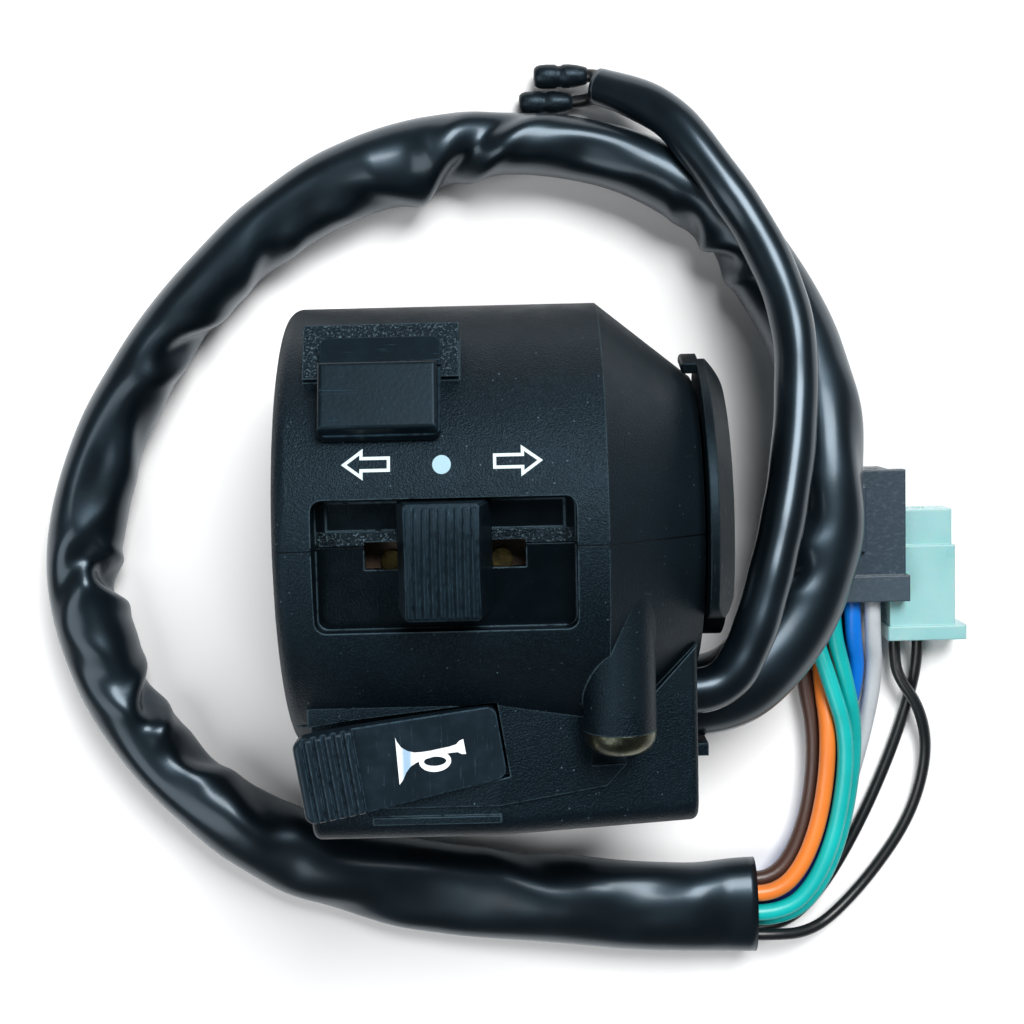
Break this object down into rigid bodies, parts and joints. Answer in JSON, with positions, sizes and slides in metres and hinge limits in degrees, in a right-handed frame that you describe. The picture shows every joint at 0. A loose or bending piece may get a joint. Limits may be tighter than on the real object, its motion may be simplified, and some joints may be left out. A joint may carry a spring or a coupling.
{
  "type": "handlebar switch cluster",
  "caption": "Motorbike left handlebar switch cluster in a split black housing, with turn slider, dimmer, horn paddle, choke lever and a sleeved wiring harness.",
  "frame": {"origin": "on the handlebar's axis, halfway along the housing", "axes": "+X along the bar towards its inner end, +Y up the front, +Z out of the controls"},
  "size_m": [0.1287, 0.124, 0.0572],
  "materials": {
    "housing": "fine grained black",
    "switch_plastic": "satin black",
    "lever_plastic": "satin black",
    "pale_plastic": "natural moulded",
    "phenolic": "laminate",
    "zinc_screw": "yellow zinc plated",
    "steel": "plain",
    "brass": "brass contact metal",
    "rubber": "matte black",
    "sleeve_vinyl": "glossy soft vinyl",
    "connector_dark": "satin black",
    "connector_pale": "translucent pale mint",
    "wire_brown": "satin",
    "wire_orange": "satin",
    "wire_teal": "satin",
    "wire_navy": "satin",
    "wire_blue": "satin",
    "wire_white": "satin",
    "wire_dark": "satin"
  },
  "bodies": {
    "housing": {"upper_housing": "housing", "lower_housing": "housing", "housing_screws": "zinc_screw", "screw_inserts": "brass", "turn_fixed_contacts": "brass", "turn_contact_base": "phenolic", "turn_base_screws": "steel", "dimmer_fixed_contacts": "brass", "dimmer_contact_base": "phenolic", "dimmer_base_screws": "steel", "horn_pin": "steel", "horn_spring": "steel", "horn_fixed_contacts": "brass", "horn_contact_base": "phenolic", "horn_base_screws": "steel", "choke_friction_washer": "phenolic", "harness_grommet": "rubber", "main_sleeve": "sleeve_vinyl", "clutch_sleeve": "sleeve_vinyl", "clutch_leads": "wire_dark", "clutch_boots": "connector_dark", "clutch_terminals": "brass", "wire_brown": "wire_brown", "wire_orange": "wire_orange", "wire_teal_upper": "wire_teal", "wire_navy": "wire_navy", "wire_teal_lower": "wire_teal", "wire_blue": "wire_blue", "wire_white": "wire_white", "wire_black_inner": "wire_dark", "wire_black_outer": "wire_dark", "turn_switch_wires": "wire_dark", "dimmer_switch_wires": "wire_dark", "horn_switch_wires": "wire_dark", "black_connector": "connector_dark", "black_terminals": "brass", "pale_connector": "connector_pale", "pale_terminals": "brass"},
    "turn_slider": {"turn_knob": "switch_plastic", "turn_carrier": "pale_plastic", "turn_moving_contact": "brass", "turn_detent_ball": "steel", "turn_detent_spring": "steel"},
    "dimmer_slider": {"dimmer_knob": "switch_plastic", "dimmer_carrier": "pale_plastic", "dimmer_moving_contact": "brass", "dimmer_detent_ball": "steel", "dimmer_detent_spring": "steel"},
    "horn": {"horn_paddle": "switch_plastic", "horn_moving_contact": "brass"},
    "choke": {"choke_lever": "lever_plastic"}
  },
  "joints": [
    {"name": "turn_slide", "type": "slide", "parent": "housing", "child": "turn_slider", "axis": [1, 0, 0], "range_m": [-0.0065, 0.0065]},
    {"name": "dimmer_slide", "type": "slide", "parent": "housing", "child": "dimmer_slider", "axis": [0, 0.866, -0.5], "range_m": [0, 0.003]},
    {"name": "horn_press", "type": "hinge", "parent": "housing", "child": "horn", "pos_m": [-0.0012, -0.0239, 0.0162], "axis": [0.1495, -0.9888, 0], "range_deg": [0, 7], "stiffness_Nm_per_rad": 0.12, "springref_deg": -2.86, "deforming": ["horn_spring"]},
    {"name": "choke_turn", "type": "hinge", "parent": "housing", "child": "choke", "pos_m": [0.0268, 0, 0], "axis": [-1, 0, 0], "range_deg": [0, 50]}
  ]
}
